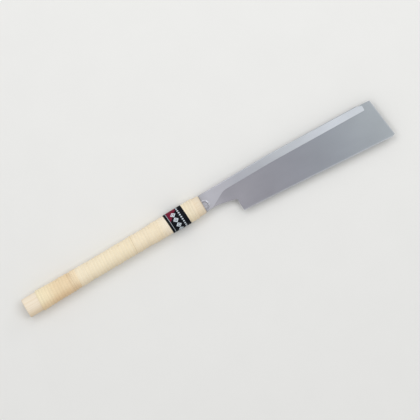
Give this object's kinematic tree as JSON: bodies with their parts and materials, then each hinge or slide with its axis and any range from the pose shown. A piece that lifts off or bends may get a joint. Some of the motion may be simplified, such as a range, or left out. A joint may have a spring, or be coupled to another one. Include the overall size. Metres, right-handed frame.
{
  "type": "backed pull saw",
  "caption": "Japanese-style pull saw with a stiff folded steel back, a thin toothed blade hooked on a rivet in the neck, and a straight oval wooden handle wrapped in flat cane.",
  "frame": {"origin": "centre of the handle's butt face, in the middle plane of the blade", "axes": "+X along the handle from butt to tip, +Y from the teeth to the back, +Z square to the blade; the saw lies flat on its wrap, with -Z down"},
  "size_m": [0.577, 0.0713, 0.0245],
  "materials": {
    "handle_wood": "bare pale wood",
    "cane_pale": "glossy flat cane",
    "cane_warm": "glossy flat cane",
    "cane_front": "glossy flat cane",
    "label": "satin printed",
    "back_steel": "satin plated",
    "pin_steel": "bright",
    "blade_steel": "ground"
  },
  "bodies": {
    "handle": {"handle_upper_half": "handle_wood", "handle_lower_half": "handle_wood", "folded_back": "back_steel", "tang_spacer": "back_steel", "tang_pins": "pin_steel", "hook_pin": "pin_steel", "cane_rear": "cane_pale", "cane_middle": "cane_warm", "cane_front": "cane_front", "label_band": "label"},
    "blade": {"saw_blade": "blade_steel"}
  },
  "joints": [
    {"name": "blade_swing", "type": "hinge", "parent": "handle", "child": "blade", "pos_m": [0.293, -0.003, 0], "axis": [0, 0, -1], "range_deg": [0, 15]}
  ]
}
